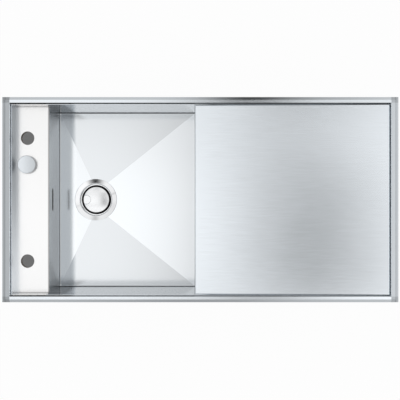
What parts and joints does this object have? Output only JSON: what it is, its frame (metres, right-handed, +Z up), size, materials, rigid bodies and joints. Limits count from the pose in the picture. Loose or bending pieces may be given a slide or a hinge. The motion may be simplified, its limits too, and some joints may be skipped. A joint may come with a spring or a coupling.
{
  "type": "kitchen sink with drainer",
  "caption": "Inset steel kitchen sink: faceted bowl, tap ledge with holes and pop-up knob, plain drainer in a bevelled rim, with waste and overflow.",
  "frame": {"origin": "middle of the rim on the worktop plane, where the rim's underside rests", "axes": "+X along the sink to the drainer, +Y to the back, +Z up"},
  "size_m": [1, 0.518, 0.2995],
  "materials": {
    "rim_steel": "brushed along each bar",
    "ledge_steel": "fine brushed",
    "bowl_steel": "fine brushed",
    "drainer_steel": "brushed along the length",
    "polished_steel": "polished",
    "zinc_steel": "zinc plated",
    "knob_satin": "satin",
    "brass": "machined",
    "seal_rubber": "matt",
    "waste_plastic": "moulded",
    "pipe_plastic": "moulded",
    "lever_plastic": "moulded",
    "damping_pad": "matt",
    "board": "stained plywood"
  },
  "bodies": {
    "sink": {"rim_left_bar": "rim_steel", "rim_right_bar": "rim_steel", "rim_back_bar": "rim_steel", "rim_front_bar": "rim_steel", "tap_ledge": "ledge_steel", "ledge_left_wall": "ledge_steel", "ledge_back_end": "ledge_steel", "ledge_front_end": "ledge_steel", "bowl_left_wall": "bowl_steel", "bowl_right_wall": "bowl_steel", "bowl_back_wall": "bowl_steel", "bowl_front_wall": "bowl_steel", "bowl_floor": "bowl_steel", "drainer_panel": "drainer_steel", "drainer_stiffeners": "drainer_steel", "waste_flange": "polished_steel", "clip_brackets": "zinc_steel", "clip_screws": "zinc_steel", "earth_tag": "zinc_steel", "knob_washer": "zinc_steel", "rocker_pivot": "zinc_steel", "knob_bush": "brass", "knob_nut": "brass", "waste_cable_gland": "brass", "knob_cable_gland": "brass", "rim_gasket": "seal_rubber", "flange_seal": "seal_rubber", "lower_seal": "seal_rubber", "body_seal": "seal_rubber", "overflow_seal": "seal_rubber", "clip_pads": "seal_rubber", "lock_nut": "waste_plastic", "waste_body": "waste_plastic", "lever_cover": "waste_plastic", "overflow_body": "waste_plastic", "overflow_nuts": "waste_plastic", "cable_box": "waste_plastic", "overflow_pipe": "pipe_plastic", "drainer_damping_pads": "damping_pad", "bowl_damping_pads": "damping_pad", "tap_backing_board": "board"},
    "knob": {"control_knob": "knob_satin", "knob_grub_screw": "zinc_steel", "knob_spindle": "zinc_steel", "cable_drum": "lever_plastic", "spindle_circlip": "zinc_steel"},
    "rocker": {"rocker_lever": "lever_plastic"},
    "lifter": {"lifter_pin": "zinc_steel"},
    "strainer": {"strainer_basket": "polished_steel", "basket_seal": "seal_rubber", "strainer_cap": "polished_steel", "cap_screw": "zinc_steel"}
  },
  "joints": [
    {"name": "knob_turn", "type": "hinge", "parent": "sink", "child": "knob", "pos_m": [-0.447, 0.0905, -0.0385], "axis": [0, 0, 1], "range_deg": [0, 90]},
    {"name": "rocker_swing", "type": "hinge", "parent": "sink", "child": "rocker", "pos_m": [-0.239, 0, -0.2598], "axis": [0, 1, 0], "range_deg": [0, 10.8]},
    {"name": "lifter_slide", "type": "slide", "parent": "sink", "child": "lifter", "axis": [0, 0, 1], "range_m": [0, 0.01]},
    {"name": "strainer_lift", "type": "slide", "parent": "lifter", "child": "strainer", "axis": [0, 0, 1], "range_m": [0, 0.28]}
  ],
  "couplings": [
    {"joint": "rocker_swing", "follows": "knob_turn", "ratio": 0.12},
    {"joint": "lifter_slide", "follows": "knob_turn", "m_per_rad": 0.006366}
  ]
}
